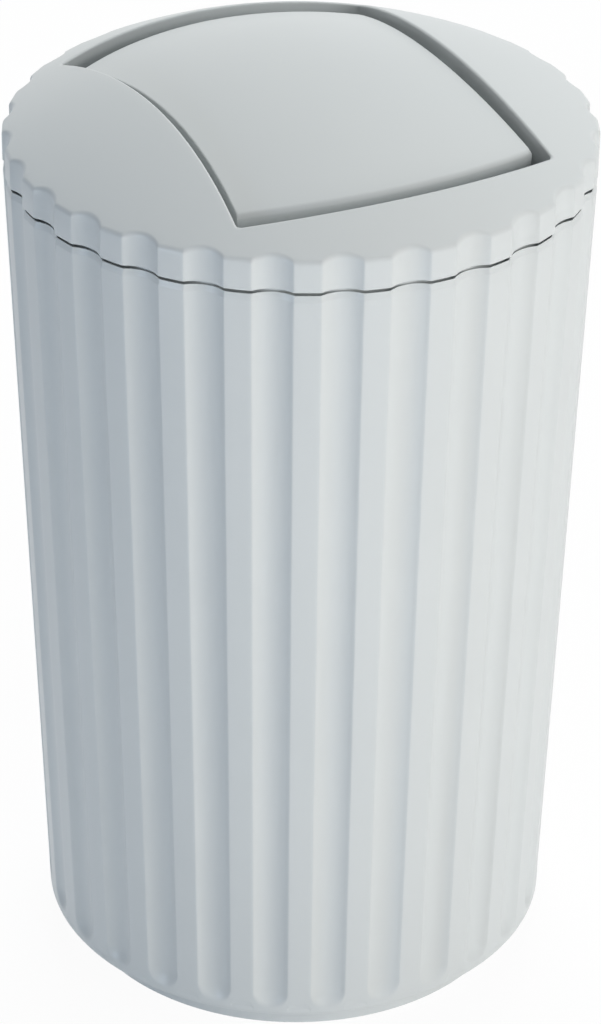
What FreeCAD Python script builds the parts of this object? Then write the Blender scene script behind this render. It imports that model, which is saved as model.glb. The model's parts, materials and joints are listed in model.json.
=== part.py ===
"""Fluted swing-lid bin: a tapered bucket, a domed lid and a flap that swings in the lid.

Millimetres, +Z up, origin on the floor under the middle of the bin. The flap's
pivot axis runs along X, so the flap swings open towards -Y or +Y.
"""
import FreeCAD, Part
import math
import os

# Bucket, whose wall draws in by its taper from the rim down to the foot
rim_radius = 100.0
wall_taper = 9.5
shoulder_height = 304.2
body_wall = 1.8
base_edge_bevel = 0.6
rim_bevel_height = 1.9
rim_bevel_width = 0.9

# Shadow gap between the bucket and the lid, outside the seat that the lid rests on
seam_gap = 1.2
seat_width = 0.9

# Foot under the bucket
foot_inset = 9.3
foot_height = 10.8
foot_ring_width = 7.0
underside_lift = 1.5
floor_wall = 2.0

# Flutes, the same number round the bucket and the lid
flute_count = 28
flute_width_share = 0.59
flute_depth = 2.5
flute_end_margin = 3.5

# Neck of the bucket, which the lid's skirt slides over
neck_height = 9.0
neck_wall = 1.3
neck_clearance = 0.35

# Lid, whose edge is rounded in flat steps
lid_wall = 1.7
lid_edge_height = 10.8
lid_edge_round = 2.5
lid_edge_steps = 1
dome_rise = 25.5

# Opening in the lid, measured from the lid's edge to the middle of each side and end
opening_side_margin = 46.4
opening_end_margin = 20.6
opening_side_bow = 3.6
opening_end_bow = 11.7
opening_corner_round = 1.5
opening_edge_bevel = 1.4
opening_wall = 1.8
opening_wall_depth = 14.0

# Flap
flap_side_gap = 3.4
flap_end_gap = 7.0
flap_recess = 3.7
flap_wall = 1.8
flap_skirt_depth = 31.0
flap_end_bevel = 1.2

# Pivot of the flap
pivot_drop = 7.0
pin_radius = 2.0
pin_clearance = 0.08
pin_collar_radius = 3.0
pin_side_play = 0.3
lug_radius = 5.5
lug_thickness = 3.2

# How far a cutter reaches past the face that it cuts, and how near counts as equal
overrun = 5.0
tolerance = 0.0005

origin = FreeCAD.Vector(0, 0, 0)
up = FreeCAD.Vector(0, 0, 1)
across = FreeCAD.Vector(1, 0, 0)
full_turn = 360
edge_shares = 0, 0.5, 1

# Heights, radii and angles that follow from the sizes above
base_radius = rim_radius - wall_taper
foot_radius = base_radius - foot_inset
neck_top = shoulder_height + neck_height
lid_inner_radius = rim_radius - flute_depth - lid_wall
neck_radius = lid_inner_radius - neck_clearance
bevel_top = shoulder_height - seam_gap
bevel_foot = bevel_top - rim_bevel_height
dome_edge = shoulder_height + lid_edge_height
apex_height = dome_edge + dome_rise
dome_radius = (rim_radius**2 + dome_rise**2) / (2 * dome_rise)
floor_top = underside_lift + floor_wall
flute_pitch = 2 * math.pi / flute_count
half_flute = flute_pitch / 2 * flute_width_share
flute_foot = foot_height + flute_end_margin + base_radius * math.sin(half_flute)

# Half the width of the opening and of the flap at the pivot, and half the opening's length
opening_side = rim_radius - opening_side_margin
opening_reach = rim_radius - opening_end_margin
flap_side = opening_side - flap_side_gap


def dome_height(radius, drop=0):
    """Height of the domed surface, lowered by drop, at a radius from the axis."""
    return apex_height - drop - dome_radius + math.sqrt(dome_radius**2 - radius**2)


pivot_height = dome_height(flap_side, flap_recess) - pivot_drop


def revolved(profile):
    """Solid of revolution about Z from its (radius, height) corners."""
    corners = [FreeCAD.Vector(radius, 0, height) for radius, height in profile]
    face = Part.Face(Part.makePolygon(corners + corners[:1]))
    return face.revolve(origin, up, full_turn)


def upright_cylinder(radius, bottom, top):
    return Part.makeCylinder(radius, top - bottom, up * bottom, up)


def spoke(radius, angle, height):
    """Point at a radius, an angle and a height round the bin's axis."""
    return FreeCAD.Vector(radius * math.cos(angle), radius * math.sin(angle), height)


def flute_section(land_radius):
    """Distance from the axis and radius of the arc that hollows one flute."""
    depth = flute_depth * land_radius / rim_radius
    half_chord = land_radius * math.sin(half_flute)
    sagitta = depth - land_radius * (1 - math.cos(half_flute))
    arc_radius = (half_chord**2 + sagitta**2) / (2 * sagitta)
    return land_radius - depth + arc_radius, arc_radius


def fluted_outline(land_radius, offset, height):
    """Level outline of lands and flutes, drawn in by offset, with lands on the X and Y axes."""
    centre, arc_radius = flute_section(land_radius)
    edge_radius = land_radius - offset
    hollow_radius = arc_radius + offset
    half_angle = math.acos((edge_radius**2 + centre**2 - hollow_radius**2) / (2 * edge_radius * centre))
    edges = []
    for index in range(flute_count):
        middle = (index + 0.5) * flute_pitch
        land_start = spoke(edge_radius, middle - flute_pitch + half_angle, height)
        land_middle = spoke(edge_radius, middle - flute_pitch / 2, height)
        flute_start = spoke(edge_radius, middle - half_angle, height)
        valley = spoke(centre - hollow_radius, middle, height)
        flute_end = spoke(edge_radius, middle + half_angle, height)
        edges.append(Part.Arc(land_start, land_middle, flute_start).toShape())
        edges.append(Part.Arc(flute_start, valley, flute_end).toShape())
    return Part.Wire(edges)


def land_radius_at(height):
    rise = (height - foot_height) / (shoulder_height - foot_height)
    return base_radius + (rim_radius - base_radius) * rise


def fluted(solid, cutter):
    """The solid with the cutter's shape taken out at each flute.

    Every other flute is cut first, because wide cutters overlap their neighbours.
    """
    for first in (0, 1):
        copies = []
        for index in range(first, flute_count, 2):
            copy = cutter.copy()
            copy.rotate(origin, up, full_turn * (index + 0.5) / flute_count)
            copies.append(copy)
        solid = solid.cut(copies)
    return solid


def bucket_base():
    """Foot and lowest band of the wall, with the ball-nosed ends of the flutes."""
    ring_inside = foot_radius - foot_ring_width
    base = revolved([
        (0, underside_lift), (ring_inside, underside_lift), (ring_inside, 0),
        (foot_radius, 0), (foot_radius, foot_height),
        (base_radius - base_edge_bevel, foot_height), (base_radius, foot_height + base_edge_bevel),
        (land_radius_at(flute_foot), flute_foot), (0, flute_foot)])
    centre, ball_radius = flute_section(land_radius_at(flute_foot))
    return fluted(base, Part.makeSphere(ball_radius, FreeCAD.Vector(centre, 0, flute_foot)))


def skinned(low, high):
    """Solid between two outlines at different heights."""
    return Part.makeLoft([low, high], True)


def bucket_wall():
    """Fluted wall above the flutes' ends, and the bevel under the seam that follows the flutes."""
    rim_land = land_radius_at(bevel_foot)
    foot = fluted_outline(land_radius_at(flute_foot), 0, flute_foot)
    rim = fluted_outline(rim_land, 0, bevel_foot)
    seam = fluted_outline(rim_land, rim_bevel_width, bevel_top)
    return [skinned(foot, rim), skinned(rim, seam)]


def bucket_inside():
    """Smooth hollow of the bucket: the cup in the foot, then a cone that widens up to the neck."""
    shelf = foot_height + body_wall
    shelf_radius = land_radius_at(shelf) * (1 - flute_depth / rim_radius) - body_wall
    cup = upright_cylinder(foot_radius - body_wall, floor_top, shelf + overrun)
    ends = [Part.Wire(Part.makeCircle(radius, up * height)) for radius, height in
            ((shelf_radius, shelf), (neck_radius - neck_wall, neck_top))]
    return [cup, skinned(*ends)]


def bin_body():
    seat = upright_cylinder(neck_radius + seat_width, bevel_top, shoulder_height)
    neck = upright_cylinder(neck_radius, shoulder_height, neck_top)
    outside = bucket_base().fuse(bucket_wall() + [seat, neck])
    return outside.cut(bucket_inside()).removeSplitter()


def dome(drop=0, inset=0):
    """Ball whose top is the domed surface, lowered by drop or made thinner by inset.

    It lies on its side, so that its poles and its seam are away from the top.
    """
    return Part.makeSphere(dome_radius - inset, up * (apex_height - drop - dome_radius), -across)


def edge_rounding(wall_radius):
    """(inset, height) of the steps that round an upright wall at this radius into the dome.

    The last step goes on past the dome, so that it can be cut there.
    """
    reach = dome_radius - lid_edge_round
    ball_radius = wall_radius - lid_edge_round
    start = apex_height - dome_radius + math.sqrt(reach**2 - ball_radius**2)
    turn = math.acos(ball_radius / reach)
    steps = []
    for index in range(lid_edge_steps + 1):
        angle = turn * index / lid_edge_steps
        inset = lid_edge_round * (1 - math.cos(angle))
        steps.append((inset, start + lid_edge_round * math.sin(angle)))
    climb = turn * (1 - 0.5 / lid_edge_steps)
    inset, height = steps[-1]
    steps[-1] = inset + overrun * math.sin(climb), height + overrun * math.cos(climb)
    return steps


def lid_blank():
    """Outside of the lid before its opening is cut: fluted skirt, rounded edge and dome."""
    land_steps = [(rim_radius - inset, height) for inset, height in edge_rounding(rim_radius)]
    blank = revolved([(0, shoulder_height), (rim_radius, shoulder_height)] + land_steps
                     + [(land_steps[-1][0], apex_height), (0, apex_height)])
    centre, arc_radius = flute_section(rim_radius)
    flute_steps = edge_rounding(rim_radius - flute_depth)
    cutter = revolved([(0, shoulder_height - overrun), (arc_radius, shoulder_height - overrun)]
                      + [(arc_radius + inset, height) for inset, height in flute_steps]
                      + [(0, flute_steps[-1][1])])
    cutter.translate(across * centre)
    return fluted(blank.common(dome()), cutter)


def opening_face(side_margin, end_margin):
    """Level face of the opening's outline, drawn in by the margins, with sharp corners."""
    waist = opening_side - side_margin
    reach = opening_reach - end_margin
    half_width = waist + opening_side_bow
    half_length = reach - opening_end_bow
    corners = [(half_width, -half_length), (half_width, half_length),
               (-half_width, half_length), (-half_width, -half_length)]
    middles = [(waist, 0), (0, reach), (-waist, 0), (0, -reach)]
    edges = []
    for index, middle in enumerate(middles):
        ends = [corners[index], middle, corners[(index + 1) % len(corners)]]
        edges.append(Part.Arc(*[FreeCAD.Vector(x, y, 0) for x, y in ends]).toShape())
    return Part.Face(Part.Wire(edges))


def upright_prism(face):
    return face.extrude(up * (apex_height + overrun))


def below(height):
    """Block that takes away everything inside the lid's edge up to a height."""
    return upright_cylinder(rim_radius, -overrun, height)


def dome_edges(solid, drop, prism):
    """Edges of the solid where the sides of the prism cut the domed surface, lowered by drop."""
    centre = up * (apex_height - drop - dome_radius)
    picked = []
    for edge in solid.Edges:
        if edge.Degenerated:
            continue
        start, end = edge.ParameterRange
        spots = [edge.valueAt(start + (end - start) * share) for share in edge_shares]
        on_dome = all(abs((spot - centre).Length - dome_radius) < tolerance for spot in spots)
        if on_dome and all(prism.isInside(spot, tolerance, True) for spot in spots):
            picked.append(edge)
    return picked


def hinge_lugs():
    """Two tongues beside the opening, rounded at the pivot, that carry the flap's pins."""
    lugs = []
    for inner_face in (opening_side, -opening_side - lug_thickness):
        pivot = FreeCAD.Vector(inner_face, 0, pivot_height)
        eye = Part.makeCylinder(lug_radius, lug_thickness, pivot, across)
        tongue = Part.makeBox(lug_thickness, 2 * lug_radius, apex_height - pivot_height,
                              pivot - FreeCAD.Vector(0, lug_radius, 0))
        lugs.append(eye.fuse(tongue))
    return lugs


def lid():
    mouth = opening_face(0, 0).makeOffset2D(-opening_corner_round).makeOffset2D(opening_corner_round)
    outside = lid_blank().cut(upright_prism(mouth))
    outside = outside.makeChamfer(opening_edge_bevel, dome_edges(outside, 0, upright_prism(mouth)))
    turned_down = upright_prism(mouth.makeOffset2D(opening_wall)).cut(dome(opening_wall_depth))
    inside = upright_cylinder(lid_inner_radius, shoulder_height - overrun, apex_height)
    inside = inside.common(dome(0, lid_wall))
    shell = outside.cut(inside.cut([turned_down] + hinge_lugs()))
    reach = opening_side + lug_thickness + overrun
    bore = Part.makeCylinder(pin_radius + pin_clearance, 2 * reach,
                             FreeCAD.Vector(-reach, 0, pivot_height), across)
    return shell.cut(bore)


def pivot_pins():
    """Two moulded pins, each with a collar that keeps the flap in the middle of the opening."""
    pins = []
    root = flap_side - flap_wall / 2
    for side in (1, -1):
        start = FreeCAD.Vector(side * root, 0, pivot_height)
        collar_length = opening_side - pin_side_play - root
        pin_length = opening_side + lug_thickness - root
        collar = Part.makeCylinder(pin_collar_radius, collar_length, start, across * side)
        pins.append(collar.fuse(Part.makeCylinder(pin_radius, pin_length, start, across * side)))
    return pins


def swing_flap():
    face = opening_face(flap_side_gap, flap_end_gap)
    outer = upright_prism(face).common(dome(flap_recess))
    ends = [edge for edge in dome_edges(outer, flap_recess, outer) if abs(edge.CenterOfMass.y) > flap_side]
    outer = outer.makeChamfer(flap_end_bevel, ends)
    inner = upright_prism(face.makeOffset2D(-flap_wall)).common(dome(flap_recess, flap_wall))
    panel = outer.cut([inner, below(dome_height(flap_side, flap_recess) - flap_skirt_depth)])
    return panel.fuse(pivot_pins()).removeSplitter()


os.makedirs("parts", exist_ok=True)
for make in (bin_body, lid, swing_flap):
    shape = make()
    shape.exportStep(f"parts/{make.__name__}.step")
    print(make.__name__, "valid", shape.isValid(), "solids", len(shape.Solids), "volume", round(shape.Volume))
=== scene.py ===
"""Light grey bin with a fluted bucket, a domed lid and a swing flap, dressed around its CAD frame.

Metres, +Z up, origin on the floor under the middle of the bin. The flap's pivot runs along X.
"""
import json
import math

import bpy
import numpy as np
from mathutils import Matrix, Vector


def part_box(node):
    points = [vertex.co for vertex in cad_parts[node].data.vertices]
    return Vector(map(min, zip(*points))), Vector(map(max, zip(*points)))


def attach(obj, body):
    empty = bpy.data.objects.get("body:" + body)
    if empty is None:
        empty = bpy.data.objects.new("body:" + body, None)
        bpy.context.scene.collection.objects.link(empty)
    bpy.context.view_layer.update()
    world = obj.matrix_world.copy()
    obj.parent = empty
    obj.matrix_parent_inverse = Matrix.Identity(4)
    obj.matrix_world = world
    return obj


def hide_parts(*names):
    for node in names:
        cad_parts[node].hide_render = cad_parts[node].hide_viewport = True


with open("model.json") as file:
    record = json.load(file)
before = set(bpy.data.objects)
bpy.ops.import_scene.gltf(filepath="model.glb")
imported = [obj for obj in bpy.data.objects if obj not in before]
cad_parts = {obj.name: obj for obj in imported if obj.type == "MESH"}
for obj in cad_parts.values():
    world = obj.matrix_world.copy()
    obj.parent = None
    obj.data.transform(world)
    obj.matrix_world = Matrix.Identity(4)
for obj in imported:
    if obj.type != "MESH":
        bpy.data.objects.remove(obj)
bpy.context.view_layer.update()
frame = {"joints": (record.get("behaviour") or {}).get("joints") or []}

bl_info = {
    "name": "Fluted swing-lid bin",
    "version": (1, 0, 0),
    "blender": (4, 5, 0),
    "location": "3D View > Sidebar > Bin",
    "description": "Models a fluted bin with a domed lid and a swing flap around its CAD frame",
    "category": "Object",
}

PLASTIC = "satin_grey_plastic"

# Rows of points round one half of a flute, as shares of the land's half and of the flute's half
LAND_SHARES = 0.0, 0.6, 0.85, 0.94
FLUTE_SHARES = 0.0, 0.05, 0.11, 0.2, 0.35, 0.55, 0.77

# Columns of points on a quarter of the lid's opening and of the flap: side, corner and end
OPENING_COLUMNS = 74, 12, 68
FLAP_COLUMNS = 36, 4, 32

# Steps between rings along each stretch of a piece
ROUND_STEPS = 3
FLUTE_END_STEPS = 22
WALL_STEPS = 8
LID_EDGE_STEPS = 8
DOME_STEPS = 14
OPENING_ROLL_STEPS = 7
UNDERSIDE_STEPS = 8
FLAP_TOP_STEPS = 14
FLAP_ROLL_STEPS = 9

# Where the band of flute ends starts, as a share of the margin under them
FLUTE_END_START_SHARE = 0.7
# Inner ring of the flap's top, as a share of the roll at its ends
FLAP_INNER_SHARE = 1.1
# Ends of the pivot's bore, as shares of the lugs' reach
BORE_SHARES = 0.8, 1.2
# Bevel of a pin's tip, as a share of its radius
PIN_BEVEL_SHARE = 0.2
PIN_BEVEL_SEGMENTS = 3
# Sides of a rod along the pivot, and the least share of X in the normal of its end faces
ROD_SIDES = 64
ROD_END_FACING_SHARE = 0.9

MERGE_DISTANCE = 1e-6
SHARP_CORNER = MERGE_DISTANCE
PIVOT_HEIGHT = next(joint["pos_m"][2] for joint in frame["joints"] if joint["name"] == "flap_swing")
SMOOTH_ANGLE = math.radians(32)

# Grain of the moulded plastic: noise scales per metre, and their shares in the sheen and the bump
CLOUD_SCALE = 14.0
GRAIN_SCALE = 1900.0
NOISE_DETAIL = 2.0
NOISE_ROUGHNESS = 0.5
SHEEN = 0.34
CLOUD_SHEEN_SHARE = 0.06
GRAIN_SHEEN_SHARE = 0.05
GRAIN_BUMP_SHARE = 0.16
GRAIN_HEIGHT = 0.00006
PLASTIC_IOR = 1.49

# Stage: a lamp has a name, a place, a size, a tint and a power, and gloss shows it or not
WHITE = 1, 1, 1, 1
FLOOR_SIZE = 12
FLOOR_GLOW_SHARE = 0.95
ROOM_TINT = 0.95, 0.97, 1.0, 1
ROOM_LIGHT = 0.16
LAMP_AIM = 0, 0, 0.17
LAMPS = (
    ("key", (0.52, -1.5, 0.5), 1.4, (1.0, 0.985, 0.965), 24.5, False),
    ("top", (0.45, 0.75, 1.5), 0.8, (0.98, 1.0, 1.0), 19, False),
    ("left", (-1.5, -0.35, 0.16), 0.5, (0.64, 0.80, 1.0), 6.4, True),
)
# Height of the camera's sensor in millimetres
SENSOR_HEIGHT = 36


def length(name, description, default):
    """A length in metres that the panel shows."""
    return bpy.props.FloatProperty(
        name=name, description=description, default=default, min=0.0, precision=5, subtype="DISTANCE",
        unit="LENGTH")


def colour(name, description, default):
    """A colour that the panel shows."""
    return bpy.props.FloatVectorProperty(
        name=name, description=description, default=default, size=3, min=0.0, max=1.0, subtype="COLOR")


class BinBucketSizes(bpy.types.PropertyGroup):
    """Sizes of the fluted bucket, and of the flutes that the lid shares."""

    rim_radius: length("Rim radius", "Radius over the lands at the rim", 0.1)
    base_radius: length("Base radius", "Radius over the lands at the foot", 0.0905)
    shoulder_height: length("Shoulder height", "Height of the seam under the lid", float(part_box("lid")[0][2]))
    wall: length("Wall", "Thickness of the bucket's wall", 0.0018)
    base_edge_round: length("Base edge", "Rounding of the wall's lower edge", 0.0007)
    rim_bevel_height: length("Bevel height", "Height of the bevel under the seam", 0.0021)
    rim_bevel_width: length("Bevel width", "How far the bevel draws in at the seam", 0.0006)
    bevel_round: length("Bevel edge", "Rounding of the bevel's lower edge", 0.0003)
    seam_gap: length("Seam gap", "Height of the dark gap under the lid's edge", 0.0013)
    seat_width: length("Seat width", "Width of the seat that the lid rests on", 0.00055)
    gutter_lip: length("Gutter lip", "Thickness of the lip round the gutter behind the gap", 0.00025)
    gutter_depth: length("Gutter depth", "Depth of the gutter behind the gap", 0.0045)
    foot_radius: length("Foot radius", "Radius of the foot", 0.0812)
    foot_height: length("Foot height", "Height of the foot under the wall", 0.0108)
    foot_ring: length("Foot ring", "Width of the ring that stands on the floor", 0.007)
    foot_round: length("Foot edge", "Rounding of the foot's edges", 0.0006)
    underside_lift: length("Underside lift", "Height of the underside above the floor", 0.0015)
    floor_top: length("Floor top", "Height of the bucket's inner floor", 0.0035)
    neck_height: length("Neck height", "Height of the neck above the seam", 0.009)
    neck_wall: length("Neck wall", "Thickness of the neck", 0.0013)
    neck_radius: length("Neck radius", "Radius of the neck inside the lid", 0.09545)
    neck_round: length("Neck edge", "Rounding of the neck's edges", 0.0005)
    flute_count: bpy.props.IntProperty(
        name="Flutes", description="Number of flutes round the bucket and the lid", default=28, min=4)
    flute_share: bpy.props.FloatProperty(
        name="Flute width", description="Width of a flute as a share of the pitch", default=0.59,
        min=0.1, max=0.9, subtype="FACTOR")
    flute_depth: length("Flute depth", "Depth of a flute at the rim", 0.0025)
    flute_end_margin: length("Flute end", "Gap between the base and the flutes' round ends", 0.0035)
    flute_edge: length("Flute edge", "Softness of the flutes' edges", 0.00032)
    flute_end_edge: length("Flute end edge", "Softness of the edges at the flutes' round ends", 0.0007)


class BinLidSizes(bpy.types.PropertyGroup):
    """Sizes of the domed lid and its opening."""

    wall: length("Wall", "Thickness of the lid's dome", 0.0017)
    inner_radius: length("Inner radius", "Inner radius of the skirt", 0.0958)
    skirt_round: length("Skirt edge", "Rounding of the skirt's lower edge", 0.0004)
    dome_edge_height: length("Dome edge", "Height of the dome's edge above the seam", 0.0108)
    dome_rise: length("Dome rise", "Rise of the dome from its edge to its middle", 0.0255)
    edge_round: length("Edge round", "Rounding between the skirt and the dome", 0.0025)
    opening_side: length("Opening side", "Half the width of the opening at the pivot", 0.0536)
    opening_reach: length("Opening reach", "Half the length of the opening", 0.0794)
    opening_side_bow: length("Side bow", "How far the opening's sides bow in", 0.0036)
    opening_end_bow: length("End bow", "How far the opening's ends bow out", 0.0117)
    opening_corner: length("Opening corner", "Rounding of the opening's corners", 0.0016)
    opening_roll: length("Opening roll", "Rounding of the opening's edge", 0.0012)
    opening_wall: length("Opening wall", "Thickness of the wall that turns down at the opening", 0.0018)
    opening_wall_depth: length("Wall depth", "Depth of the turned-down wall under the dome", 0.014)
    lug_radius: length("Lug radius", "Radius of the hinge lugs", 0.0055)
    lug_thickness: length("Lug thickness", "Thickness of the hinge lugs", 0.0032)
    bore_radius: length("Bore radius", "Radius of the pivot holes", 0.00208)


class BinFlapSizes(bpy.types.PropertyGroup):
    """Sizes of the swing flap and its pivot."""

    side_gap: length("Side gap", "Gap between the flap and the opening's sides", 0.0034)
    end_gap: length("End gap", "Gap between the flap and the opening's ends", 0.007)
    recess: length("Recess", "How far the flap lies below the lid's dome", 0.0037)
    wall: length("Wall", "Thickness of the flap", 0.0018)
    skirt_depth: length("Skirt depth", "Depth of the skirt at the pivot", 0.031)
    end_roll: length("End roll", "Rounding of the flap's two ends", 0.0015)
    side_round: length("Side edge", "Rounding of the flap's side edges", 0.0006)
    pivot_height: length("Pivot height", "Height of the flap's pivot", PIVOT_HEIGHT)
    pin_radius: length("Pin radius", "Radius of the pivot pins", 0.002)
    collar_radius: length("Collar radius", "Radius of the collars on the pins", 0.003)
    side_play: length("Side play", "Gap between a collar and the opening's wall", 0.0003)


class BinFinish(bpy.types.PropertyGroup):
    """Colours of the plastic and the stage, and the camera."""

    plastic: colour("Plastic", "Colour of the satin plastic", (0.60, 0.628, 0.630))
    plastic_shade: colour("Plastic shade", "Darker tone in the plastic", (0.578, 0.606, 0.610))
    floor: colour("Floor", "Colour of the floor", (0.94, 0.94, 0.94))
    camera_place: bpy.props.FloatVectorProperty(
        name="Camera place", description="Where the camera stands", default=(-0.5632, -1.0940, 0.9028),
        size=3, subtype="TRANSLATION", unit="LENGTH")
    camera_turn: bpy.props.FloatVectorProperty(
        name="Camera turn", description="How the camera is turned",
        default=[math.radians(angle) for angle in (59.0186, -0.5015, -26.9378)], size=3, subtype="EULER")
    camera_lens: bpy.props.FloatProperty(
        name="Camera lens", description="Focal length of the camera", default=142.75, unit="CAMERA")
    camera_shift: bpy.props.FloatProperty(
        name="Camera shift", description="Sideways shift of the picture", default=0.0032)


GROUPS = {
    "bin_bucket": BinBucketSizes,
    "bin_lid": BinLidSizes,
    "bin_flap": BinFlapSizes,
    "bin_finish": BinFinish,
}


def lerp(start, end, share):
    """The value at a share of the way from start to end."""
    return start + (end - start) * share


def steps(count):
    """Shares from 0 to 1 in a number of even steps."""
    return np.linspace(0.0, 1.0, count + 1)


def soft_min(left, right, softness):
    """The smaller of two values, with a rounded change-over."""
    overlap = np.maximum(softness - np.abs(left - right), 0) / softness
    return np.minimum(left, right) - overlap**2 * softness / 4


def ring(outline, height):
    """Points of a level or wavy ring from its (x, y) outline."""
    heights = np.broadcast_to(height, len(outline))
    return np.column_stack([outline, heights])


def round_corner(before, corner, after, radius):
    """(across, height) points of an arc that rounds a profile's corner."""
    before, corner, after = (np.array(spot, float) for spot in (before, corner, after))
    back = (before - corner) / np.linalg.norm(before - corner)
    ahead = (after - corner) / np.linalg.norm(after - corner)
    half_angle = math.acos(np.clip(back @ ahead, -1, 1)) / 2
    reach = radius / math.tan(half_angle)
    centre = corner + (back + ahead) / np.linalg.norm(back + ahead) * radius / math.sin(half_angle)
    start = corner + back * reach - centre
    end = corner + ahead * reach - centre
    turn = math.atan2(start[0] * end[1] - start[1] * end[0], start @ end)
    spots = []
    for share in steps(ROUND_STEPS):
        cos, sin = math.cos(turn * share), math.sin(turn * share)
        across = centre[0] + cos * start[0] - sin * start[1]
        height = centre[1] + sin * start[0] + cos * start[1]
        spots.append((across, height))
    return spots


def rounded_profile(corners):
    """(across, height) points of a profile from its (across, height, rounding) corners."""
    points = [corners[0][:2]]
    for before, corner, after in zip(corners, corners[1:], corners[2:]):
        if corner[2]:
            points += round_corner(before[:2], corner[:2], after[:2], corner[2])
        else:
            points.append(corner[:2])
    return points + [corners[-1][:2]]


def stacked_rings(name, rings):
    """Closed mesh of rings: a circle is extruded for each ring, and its points then take their places."""
    columns = len(rings[0])
    bpy.ops.object.select_all(action="DESELECT")
    bpy.ops.mesh.primitive_circle_add(vertices=columns, radius=1.0)
    piece = bpy.context.object
    piece.name = piece.data.name = name
    bpy.ops.object.mode_set(mode="EDIT")
    bpy.ops.mesh.select_all(action="SELECT")
    for _ in rings[1:]:
        bpy.ops.mesh.extrude_region_move(TRANSFORM_OT_translate={"value": (0, 0, 1)})
    bpy.ops.object.mode_set(mode="OBJECT")
    spots = np.empty(len(piece.data.vertices) * 3)
    piece.data.vertices.foreach_get("co", spots)
    across, along, height = spots.reshape(-1, 3).T
    column = np.rint(np.arctan2(along, across) / (2 * math.pi) * columns).astype(int) % columns
    level = np.rint(height).astype(int)
    piece.data.vertices.foreach_set("co", np.array(rings)[level, column].ravel())
    clean(piece)
    return piece


def clean(piece):
    """Merges doubles, turns faces outwards and shades the piece smooth up to its crisp edges."""
    bpy.ops.object.select_all(action="DESELECT")
    piece.select_set(True)
    bpy.context.view_layer.objects.active = piece
    bpy.ops.object.mode_set(mode="EDIT")
    bpy.ops.mesh.select_all(action="SELECT")
    bpy.ops.mesh.remove_doubles(threshold=MERGE_DISTANCE)
    bpy.ops.mesh.normals_make_consistent(inside=False)
    bpy.ops.object.mode_set(mode="OBJECT")
    bpy.ops.object.shade_smooth_by_angle(angle=SMOOTH_ANGLE)


def combine(piece, tool, operation):
    """Joins a tool to a piece or cuts it out, and removes the tool."""
    modifier = piece.modifiers.new(operation.lower(), "BOOLEAN")
    modifier.operation = operation
    modifier.solver = "EXACT"
    modifier.object = tool
    bpy.ops.object.select_all(action="DESELECT")
    piece.select_set(True)
    bpy.context.view_layer.objects.active = piece
    bpy.ops.object.modifier_apply(modifier=modifier.name)
    bpy.data.objects.remove(tool)


def finish_piece(piece, node, body):
    """Gives a piece its plastic and puts it in the place of its CAD node."""
    piece.data.materials.clear()
    piece.data.materials.append(satin_plastic(bpy.context.scene.bin_finish))
    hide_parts(node)
    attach(piece, body)


class Flutes:
    """The flutes' columns of points and their outline at any height."""

    def __init__(self, sizes):
        self.sizes = sizes
        self.pitch = 2 * math.pi / sizes.flute_count
        self.half_flute = self.pitch / 2 * sizes.flute_share
        half_land = self.pitch / 2 - self.half_flute
        half = [half_land * share for share in LAND_SHARES]
        half += [half_land + self.half_flute * share for share in FLUTE_SHARES]
        offsets = np.array(half + [self.pitch - offset for offset in [self.pitch / 2] + half[:0:-1]])
        starts = np.arange(sizes.flute_count) * self.pitch
        self.angles = (starts[:, None] + offsets[None, :]).ravel()
        self.from_middle = np.tile(offsets - self.pitch / 2, sizes.flute_count)
        self.spokes = np.column_stack([np.cos(self.angles), np.sin(self.angles)])

    def section(self, land):
        """Distance from the axis and radius of the arc that hollows one flute."""
        depth = self.sizes.flute_depth * land / self.sizes.rim_radius
        half_chord = land * math.sin(self.half_flute)
        sagitta = depth - land * (1 - math.cos(self.half_flute))
        arc_radius = (half_chord**2 + sagitta**2) / (2 * sagitta)
        return land - depth + arc_radius, arc_radius

    def radii(self, land, inset=0.0, drop=0.0, softness=None):
        """Radius at every column, drawn in by inset, at a drop under the middle of the flutes' round ends."""
        centre, arc_radius = self.section(land)
        hollow = max(arc_radius**2 - drop**2, 0) ** 0.5 + inset
        under = hollow**2 - (centre * np.sin(self.from_middle)) ** 2
        flute = centre * np.cos(self.from_middle) - np.sqrt(np.maximum(under, 0))
        flute = np.where(under > 0, flute, land)
        return soft_min(flute, land - inset, softness or self.sizes.flute_edge)

    def circle(self, radius):
        """(x, y) outline at one radius, or at one for each column."""
        return self.spokes * np.broadcast_to(radius, len(self.angles))[:, None]


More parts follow.
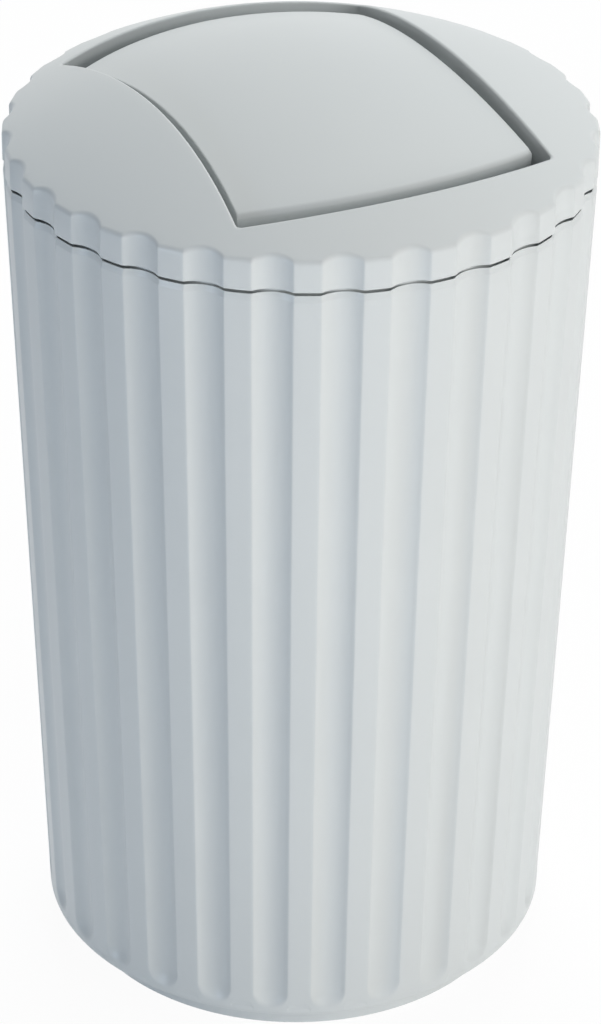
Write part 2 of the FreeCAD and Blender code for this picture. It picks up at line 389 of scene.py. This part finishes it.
class Bucket:
    """Rings of the fluted bucket."""

    def __init__(self, sizes):
        self.sizes = sizes
        self.flutes = Flutes(sizes)
        self.flute_foot = (sizes.foot_height + sizes.flute_end_margin
                           + sizes.base_radius * math.sin(self.flutes.half_flute))
        self.bevel_top = sizes.shoulder_height - sizes.seam_gap
        self.bevel_foot = self.bevel_top - sizes.rim_bevel_height
        self.gutter = self.bevel_top - sizes.gutter_depth

    def land(self, height):
        """Radius over the lands at a height."""
        rise = (height - self.sizes.foot_height) / (self.sizes.shoulder_height - self.sizes.foot_height)
        return lerp(self.sizes.base_radius, self.sizes.rim_radius, rise)

    def plain(self, profile):
        """Level rings without flutes from a (radius, height) profile."""
        return [ring(self.flutes.circle(radius), height) for radius, height in profile]

    def underside(self):
        """Underside, foot ring, foot and the rounded lower edge of the wall."""
        sizes = self.sizes
        ring_inside = sizes.foot_radius - sizes.foot_ring
        wall_start = sizes.foot_height + sizes.flute_end_margin / 2
        return self.plain(rounded_profile([
            (0, sizes.underside_lift, 0),
            (ring_inside, sizes.underside_lift, sizes.foot_round),
            (ring_inside, 0, sizes.foot_round),
            (sizes.foot_radius, 0, sizes.foot_round),
            (sizes.foot_radius, sizes.foot_height, sizes.foot_round),
            (sizes.base_radius, sizes.foot_height, sizes.base_edge_round),
            (self.land(wall_start), wall_start, 0)]))

    def flute_ends(self):
        """Band with the ball-nosed lower ends of the flutes."""
        start = self.sizes.foot_height + self.sizes.flute_end_margin * FLUTE_END_START_SHARE
        rings = []
        for share in steps(FLUTE_END_STEPS):
            height = lerp(start, self.flute_foot, share)
            softness = lerp(self.sizes.flute_end_edge, self.sizes.flute_edge, share)
            radii = self.flutes.radii(self.land(height), 0, self.flute_foot - height, softness)
            rings.append(ring(self.flutes.circle(radii), height))
        return rings

    def wall(self):
        """Fluted wall, with the bevel under the seam that follows the flutes and the lip of the gutter."""
        sizes = self.sizes
        rings = []
        for share in steps(WALL_STEPS)[1:-1]:
            height = lerp(self.flute_foot, self.bevel_foot, share)
            rings.append(ring(self.flutes.circle(self.flutes.radii(self.land(height))), height))
        rim_land = self.land(self.bevel_foot)
        bevel = rounded_profile([
            (0, self.bevel_foot - sizes.rim_bevel_height, 0),
            (0, self.bevel_foot, sizes.bevel_round),
            (sizes.rim_bevel_width, self.bevel_top, 0)])
        for inset, height in bevel:
            land = min(self.land(height), rim_land)
            rings.append(ring(self.flutes.circle(self.flutes.radii(land, inset)), height))
        lip = self.flutes.circle(self.flutes.radii(rim_land, sizes.rim_bevel_width + sizes.gutter_lip))
        return rings + [ring(lip, self.bevel_top), ring(lip, self.gutter)]

    def neck_and_inside(self):
        """Gutter behind the gap, seat, neck, smooth inside and floor."""
        sizes = self.sizes
        neck_top = sizes.shoulder_height + sizes.neck_height
        shelf = sizes.foot_height + sizes.wall
        shelf_radius = self.land(shelf) * (1 - sizes.flute_depth / sizes.rim_radius) - sizes.wall
        bore = sizes.neck_radius - sizes.neck_wall
        cup = sizes.foot_radius - sizes.wall
        seat = sizes.neck_radius + sizes.seat_width
        return self.plain(rounded_profile([
            (seat, self.gutter, 0),
            (seat, sizes.shoulder_height, 0),
            (sizes.neck_radius, sizes.shoulder_height, 0),
            (sizes.neck_radius, neck_top, sizes.neck_round),
            (bore, neck_top, sizes.neck_round),
            (shelf_radius, shelf, sizes.wall),
            (cup, shelf, sizes.wall),
            (cup, sizes.floor_top, sizes.wall),
            (0, sizes.floor_top, 0)]))

    def rings(self):
        return self.underside() + self.flute_ends() + self.wall() + self.neck_and_inside()


class Mouth:
    """Outline of the lid's opening, which the flap shares with its own margins."""

    def __init__(self, sizes, columns):
        self.sizes = sizes
        self.columns = columns

    def quarter(self, side_margin, end_margin, corner_round):
        """Points of a quarter, from the middle of a side to the middle of an end."""
        sizes = self.sizes
        waist = sizes.opening_side - side_margin
        reach = sizes.opening_reach - end_margin
        corner_x = waist + sizes.opening_side_bow
        corner_y = reach - sizes.opening_end_bow
        side_radius = (corner_y**2 + sizes.opening_side_bow**2) / (2 * sizes.opening_side_bow)
        end_radius = (corner_x**2 + sizes.opening_end_bow**2) / (2 * sizes.opening_end_bow)

        def side(y):
            return np.column_stack([waist + side_radius - np.sqrt(side_radius**2 - y**2), y])

        def end(x):
            return np.column_stack([x, reach - end_radius + np.sqrt(end_radius**2 - x**2)])

        side_count, corner_count, end_count = self.columns
        along_side = side(steps(side_count)[:-1] * (corner_y - corner_round))
        along_end = end((1 - steps(end_count)) * (corner_x - corner_round))[1:]
        start = side(np.array([corner_y - corner_round]))
        finish = end(np.array([corner_x - corner_round]))
        share = steps(corner_count)[:, None]
        corner = np.array([[corner_x, corner_y]])
        bend = (1 - share) ** 2 * start + 2 * share * (1 - share) * corner + share**2 * finish
        return np.vstack([along_side, bend, along_end])

    def outline(self, side_margin, end_margin, corner_round):
        """(x, y) points all round, from the middle of the +X side."""
        quarter = self.quarter(side_margin, end_margin, corner_round)
        mirrored = quarter[::-1] * (-1, 1)
        half = np.vstack([quarter[:-1], mirrored[:-1]])
        return np.vstack([half, -half])


class Dome:
    """The domed surface of the lid, and the same surface lowered or drawn in."""

    def __init__(self, bucket, lid):
        self.rim = bucket.rim_radius
        self.apex = bucket.shoulder_height + lid.dome_edge_height + lid.dome_rise
        self.radius = (self.rim**2 + lid.dome_rise**2) / (2 * lid.dome_rise)

    def height(self, outline, drop=0.0, inset=0.0):
        """Height over the (x, y) points of an outline."""
        reach = (np.asarray(outline) ** 2).sum(axis=-1)
        return self.apex - drop - self.radius + np.sqrt((self.radius - inset) ** 2 - reach)

    def edge_roll(self, wall_radius, rounding, share):
        """Radius and height at a share of the rounding from an upright wall into the dome."""
        reach = self.radius - rounding
        ball = wall_radius - rounding
        angle = np.arccos(ball / reach) * share
        start = self.apex - self.radius + np.sqrt(reach**2 - ball**2)
        return ball + rounding * np.cos(angle), start + rounding * np.sin(angle)


def lid_skirt(bucket, lid, flutes, dome):
    """Fluted skirt and the rounded edge that follows the flutes into the dome."""
    rings = [ring(flutes.circle(lid.inner_radius), bucket.shoulder_height)]
    for share in steps(ROUND_STEPS):
        angle = share * math.pi / 2
        inset = lid.skirt_round * (1 - math.sin(angle))
        height = bucket.shoulder_height + lid.skirt_round * (1 - math.cos(angle))
        rings.append(ring(flutes.circle(flutes.radii(bucket.rim_radius, inset)), height))
    wall = flutes.radii(bucket.rim_radius)
    for share in steps(LID_EDGE_STEPS):
        radii, heights = dome.edge_roll(wall, lid.edge_round, share)
        rings.append(ring(flutes.circle(radii), heights))
    return rings


def lid_opening(lid, mouth, dome, edge):
    """Dome from its edge to the opening, the opening's rolled edge and its turned-down wall."""
    roll = lid.opening_roll
    rim = mouth.outline(-roll, -roll, lid.opening_corner)
    rings = []
    for share in steps(DOME_STEPS)[1:-1]:
        outline = lerp(edge, rim, share)
        rings.append(ring(outline, dome.height(outline)))
    for share in steps(OPENING_ROLL_STEPS):
        angle = share * math.pi / 2
        margin = roll * (math.sin(angle) - 1)
        outline = mouth.outline(margin, margin, lid.opening_corner)
        rings.append(ring(outline, dome.height(outline) - roll * (1 - math.cos(angle))))
    inner = mouth.outline(0, 0, lid.opening_corner)
    outer = mouth.outline(-lid.opening_wall, -lid.opening_wall, lid.opening_corner)
    rings += [ring(outline, dome.height(outline, lid.opening_wall_depth)) for outline in (inner, outer)]
    return rings + [ring(outer, dome.height(outer, 0, lid.wall))]


def lid_underside(bucket, lid, flutes, mouth, dome):
    """Underside of the dome and inside of the skirt."""
    outer = mouth.outline(-lid.opening_wall, -lid.opening_wall, lid.opening_corner)
    inside = flutes.circle(lid.inner_radius)
    rings = []
    for share in steps(UNDERSIDE_STEPS)[1:]:
        outline = lerp(outer, inside, share)
        rings.append(ring(outline, dome.height(outline, 0, lid.wall)))
    return rings + [ring(inside, bucket.shoulder_height)]


def turned_rod(name, radius, start, end, height):
    """Closed rod along X at the pivot, as a start for lugs, bores and pins."""
    bpy.ops.object.select_all(action="DESELECT")
    bpy.ops.mesh.primitive_cylinder_add(
        vertices=ROD_SIDES, radius=radius, depth=abs(end - start),
        location=((start + end) / 2, 0, height), rotation=(0, math.pi / 2, 0))
    rod = bpy.context.object
    rod.name = rod.data.name = name
    bpy.ops.object.transform_apply(location=True, rotation=True, scale=True)
    return rod


def hinge_lug(lid, side, height, top):
    """Tongue beside the opening, rounded at the pivot: a rod whose upper half is drawn up into the dome."""
    inner = lid.opening_side + lid.opening_wall / 2
    outer = lid.opening_side + lid.lug_thickness
    lug = turned_rod("hinge_lug", lid.lug_radius, side * inner, side * outer, height)
    for vertex in lug.data.vertices:
        if vertex.co.z > height + MERGE_DISTANCE:
            off_middle = abs(vertex.co.y) > MERGE_DISTANCE
            vertex.co.y = math.copysign(lid.lug_radius, vertex.co.y) if off_middle else 0
            vertex.co.z = top
    clean(lug)
    return lug


def pivot_pin(lid, flap, side, height):
    """Pin with its collar: a rod whose outer end is inset and drawn out."""
    root = lid.opening_side - flap.side_gap - flap.wall / 2
    collar_end = lid.opening_side - flap.side_play
    tip = lid.opening_side + lid.lug_thickness
    pin = turned_rod("pivot_pin", flap.collar_radius, side * root, side * collar_end, height)
    bpy.ops.object.mode_set(mode="EDIT")
    bpy.ops.mesh.select_all(action="DESELECT")
    bpy.ops.object.mode_set(mode="OBJECT")
    for face in pin.data.polygons:
        face.select = face.normal.x * side > ROD_END_FACING_SHARE
    bpy.ops.object.mode_set(mode="EDIT")
    bpy.ops.mesh.select_mode(type="FACE")
    bpy.ops.mesh.inset(thickness=flap.collar_radius - flap.pin_radius)
    bpy.ops.mesh.extrude_region_move(TRANSFORM_OT_translate={"value": (side * (tip - collar_end), 0, 0)})
    bpy.ops.mesh.bevel(offset=flap.pin_radius * PIN_BEVEL_SHARE, segments=PIN_BEVEL_SEGMENTS)
    bpy.ops.object.mode_set(mode="OBJECT")
    clean(pin)
    return pin


def end_distance(lid, flap, outline, extra=0.0):
    """Distance of each point from the flap's nearer end, or from that end drawn in by extra."""
    reach = lid.opening_reach - flap.end_gap - extra
    half_width = lid.opening_side - flap.side_gap - extra + lid.opening_side_bow
    radius = (half_width**2 + lid.opening_end_bow**2) / (2 * lid.opening_end_bow)
    across, along = outline.T
    return radius - np.hypot(across, np.abs(along) - (reach - radius))


def rolled_drop(distance, rounding):
    """Drop of a surface that rolls over an edge, at a distance inside the edge."""
    inside = np.clip(rounding - distance, 0, rounding)
    return rounding - np.sqrt(rounding**2 - inside**2)


def flap_shell(lid, flap, mouth, dome, extra, edge_round):
    """Rings of the flap's outside, or of its inside with extra margin, from the middle to the skirt's top."""
    def outline(margin):
        inset = extra + margin
        return mouth.outline(flap.side_gap + inset, flap.end_gap + inset, SHARP_CORNER)

    roll = max(flap.end_roll - extra, 0.0)
    inner = outline(roll * FLAP_INNER_SHARE)
    outlines = [(inner * share, roll) for share in steps(FLAP_TOP_STEPS)]
    margins = roll * (1 - np.sin(steps(FLAP_ROLL_STEPS)[1:] * math.pi / 2))
    edge = edge_round * (1 - np.sin(steps(ROUND_STEPS) * math.pi / 2))
    margins = np.unique(np.concatenate([margins, edge]))[::-1]
    outlines += [(outline(margin), margin) for margin in margins]
    rings = []
    for spots, margin in outlines:
        drop = rolled_drop(end_distance(lid, flap, spots, extra), roll)
        if edge_round:
            drop = np.maximum(drop, rolled_drop(np.full(len(spots), margin), edge_round))
        rings.append(ring(spots, dome.height(spots, flap.recess, extra) - drop))
    return rings


class BIN_OT_bucket(bpy.types.Operator):
    """Model the fluted bucket with its foot and neck"""

    bl_idname = "bin.bucket"
    bl_label = "Fluted bucket"

    def execute(self, context):
        bucket = stacked_rings("fluted_bucket", Bucket(context.scene.bin_bucket).rings())
        finish_piece(bucket, "bin_body", "bin")
        return {"FINISHED"}


class BIN_OT_lid(bpy.types.Operator):
    """Model the domed lid with its opening and hinge lugs"""

    bl_idname = "bin.lid"
    bl_label = "Domed lid"

    def execute(self, context):
        bucket, lid, flap = context.scene.bin_bucket, context.scene.bin_lid, context.scene.bin_flap
        flutes = Flutes(bucket)
        dome = Dome(bucket, lid)
        mouth = Mouth(lid, OPENING_COLUMNS)
        rings = lid_skirt(bucket, lid, flutes, dome)
        rings += lid_opening(lid, mouth, dome, rings[-1][:, :2])
        rings += lid_underside(bucket, lid, flutes, mouth, dome)
        piece = stacked_rings("domed_lid", rings)
        height = flap.pivot_height
        reach = lid.opening_side + lid.lug_thickness
        top = dome.height((reach, lid.lug_radius)) - lid.wall / 2
        for side in (1, -1):
            combine(piece, hinge_lug(lid, side, height, top), "UNION")
            start, end = (side * reach * share for share in BORE_SHARES)
            bore = turned_rod("bore", lid.bore_radius, start, end, height)
            combine(piece, bore, "DIFFERENCE")
        clean(piece)
        finish_piece(piece, "lid", "lid")
        return {"FINISHED"}


class BIN_OT_flap(bpy.types.Operator):
    """Model the swing flap with its skirt and pivot pins"""

    bl_idname = "bin.flap"
    bl_label = "Swing flap"

    def execute(self, context):
        lid, flap = context.scene.bin_lid, context.scene.bin_flap
        dome = Dome(context.scene.bin_bucket, lid)
        mouth = Mouth(lid, FLAP_COLUMNS)
        foot = dome.height((lid.opening_side - flap.side_gap, 0), flap.recess) - flap.skirt_depth
        outside = flap_shell(lid, flap, mouth, dome, 0.0, flap.side_round)
        inside = flap_shell(lid, flap, mouth, dome, flap.wall, 0.0)
        skirt = [ring(outside[-1][:, :2], foot), ring(inside[-1][:, :2], foot)]
        piece = stacked_rings("swing_panel", outside + skirt + inside[::-1])
        for side in (1, -1):
            combine(piece, pivot_pin(lid, flap, side, flap.pivot_height), "UNION")
        clean(piece)
        finish_piece(piece, "swing_flap", "flap")
        return {"FINISHED"}


class Shade:
    """A shader's socket, on which arithmetic adds Math nodes."""

    def __init__(self, tree, socket=None):
        self.tree = tree
        self.socket = socket

    def node(self, kind, settings=None, inputs=None, output=0):
        """Adds a node with its settings and the values or links of its sockets, and gives one output."""
        made = self.tree.nodes.new(kind)
        for name, value in (settings or {}).items():
            setattr(made, name, value)
        for name, value in (inputs or {}).items():
            if isinstance(value, Shade):
                self.tree.links.new(value.socket, made.inputs[name])
            else:
                made.inputs[name].default_value = value
        return Shade(self.tree, made.outputs[output] if made.outputs else None)

    def math(self, operation, left, right):
        return self.node("ShaderNodeMath", {"operation": operation}, {0: left, 1: right})

    def __add__(self, other):
        return self.math("ADD", self, other)

    def __sub__(self, other):
        return self.math("SUBTRACT", self, other)

    def __rsub__(self, other):
        return self.math("SUBTRACT", other, self)

    def __mul__(self, other):
        return self.math("MULTIPLY", self, other)

    __radd__ = __add__
    __rmul__ = __mul__


def new_shade(name):
    """An empty material and its shader tree."""
    material = bpy.data.materials.new(name)
    material.use_nodes = True
    material.node_tree.nodes.clear()
    return material, Shade(material.node_tree)


def satin_plastic(finish):
    """Moulded satin plastic: faint cloudy tone, uneven sheen and a fine moulded grain."""
    if PLASTIC in bpy.data.materials:
        return bpy.data.materials[PLASTIC]
    material, shade = new_shade(PLASTIC)
    place = shade.node("ShaderNodeTexCoord", output="Object")

    def noise(scale):
        return shade.node("ShaderNodeTexNoise", {"noise_dimensions": "3D"}, {
            "Vector": place, "Scale": scale, "Detail": NOISE_DETAIL, "Roughness": NOISE_ROUGHNESS})

    cloud = noise(CLOUD_SCALE)
    grain = noise(GRAIN_SCALE)
    roughness = cloud * CLOUD_SHEEN_SHARE + grain * GRAIN_SHEEN_SHARE + SHEEN
    tone = shade.node("ShaderNodeMix", {"data_type": "RGBA"},
                      {"Factor": cloud, "A": (*finish.plastic, 1), "B": (*finish.plastic_shade, 1)}, "Result")
    bump = shade.node("ShaderNodeBump", None, {
        "Strength": GRAIN_BUMP_SHARE, "Distance": GRAIN_HEIGHT, "Height": grain})
    surface = shade.node("ShaderNodeBsdfPrincipled", None, {
        "Base Color": tone, "Roughness": roughness, "Normal": bump, "IOR": PLASTIC_IOR})
    shade.node("ShaderNodeOutputMaterial", None, {"Surface": surface})
    return material


def seen_rays(shade):
    """1 for rays by which the camera sees a surface, directly or in gloss and glass, and 0 for light."""
    return sum(shade.node("ShaderNodeLightPath", output=ray)
               for ray in ("Is Camera Ray", "Is Glossy Ray", "Is Transmission Ray"))


def studio_floor(finish):
    """Pale floor that the camera sees as nearly white, with the bin's shadow kept."""
    material, shade = new_shade("studio_floor")
    paint = shade.node("ShaderNodeBsdfDiffuse", None, {"Color": (*finish.floor, 1)})
    glow = shade.node("ShaderNodeEmission", None, {"Color": WHITE, "Strength": 1.0})
    surface = shade.node("ShaderNodeMixShader", None, {
        0: seen_rays(shade) * FLOOR_GLOW_SHARE, 1: paint, 2: glow})
    shade.node("ShaderNodeOutputMaterial", None, {"Surface": surface})
    return material


def studio_world():
    """Even soft light from all round, which the plastic's gloss sees as a white room."""
    world = bpy.data.worlds.new("studio")
    bpy.context.scene.world = world
    world.use_nodes = True
    world.node_tree.nodes.clear()
    shade = Shade(world.node_tree)
    light = shade.node("ShaderNodeBackground", None, {"Color": ROOM_TINT, "Strength": ROOM_LIGHT})
    room = shade.node("ShaderNodeBackground", None, {"Color": WHITE, "Strength": 1.0})
    glow = shade.node("ShaderNodeMixShader", None, {0: seen_rays(shade), 1: light, 2: room})
    shade.node("ShaderNodeOutputWorld", None, {"Surface": glow})


def softbox(name, place, size, tint, power, in_gloss):
    """Square area lamp at a place, turned to the bin, and seen or not seen in gloss."""
    lamp = bpy.data.lights.new(name, "AREA")
    lamp.color = tint
    lamp.size = size
    lamp.energy = power
    holder = bpy.data.objects.new(name, lamp)
    bpy.context.collection.objects.link(holder)
    holder.visible_glossy = in_gloss
    holder.location = place
    ray = holder.location.copy()
    ray.x, ray.y, ray.z = (goal - start for goal, start in zip(LAMP_AIM, place))
    holder.rotation_euler = ray.to_track_quat("-Z", "Y").to_euler()


class BIN_OT_stage(bpy.types.Operator):
    """Set up the floor, the lamps and the camera"""

    bl_idname = "bin.stage"
    bl_label = "Stage"

    def execute(self, context):
        finish = context.scene.bin_finish
        bpy.ops.object.select_all(action="DESELECT")
        bpy.ops.mesh.primitive_plane_add(size=FLOOR_SIZE)
        floor = context.object
        floor.name = "studio_floor"
        floor.data.materials.append(studio_floor(finish))
        studio_world()
        for lamp in LAMPS:
            softbox(*lamp)
        camera = bpy.data.cameras.new("camera")
        camera.lens = finish.camera_lens
        camera.sensor_fit = "VERTICAL"
        camera.sensor_height = SENSOR_HEIGHT
        camera.shift_x = finish.camera_shift
        holder = bpy.data.objects.new("camera", camera)
        context.collection.objects.link(holder)
        holder.location = finish.camera_place
        holder.rotation_euler = finish.camera_turn
        context.scene.camera = holder
        context.scene.view_settings.view_transform = "Standard"
        return {"FINISHED"}


OPERATORS = BIN_OT_bucket, BIN_OT_lid, BIN_OT_flap, BIN_OT_stage


class BIN_PT_panel(bpy.types.Panel):
    """Lists the bin's pieces and their sizes"""

    bl_idname = "BIN_PT_panel"
    bl_label = "Fluted bin"
    bl_space_type = "VIEW_3D"
    bl_region_type = "UI"
    bl_category = "Bin"

    def draw(self, context):
        for operator, group in zip(OPERATORS, GROUPS):
            box = self.layout.box()
            box.operator(operator.bl_idname)
            sizes = getattr(context.scene, group)
            for name in GROUPS[group].__annotations__:
                box.prop(sizes, name)


CLASSES = *GROUPS.values(), *OPERATORS, BIN_PT_panel


def register():
    for made in CLASSES:
        bpy.utils.register_class(made)
    for name, group in GROUPS.items():
        setattr(bpy.types.Scene, name, bpy.props.PointerProperty(type=group))


def unregister():
    for name in GROUPS:
        delattr(bpy.types.Scene, name)
    for made in reversed(CLASSES):
        bpy.utils.unregister_class(made)


def main():
    register()
    bpy.ops.bin.bucket()
    bpy.ops.bin.lid()
    bpy.ops.bin.flap()
    bpy.ops.bin.stage()


if __name__ == "__main__":
    main()
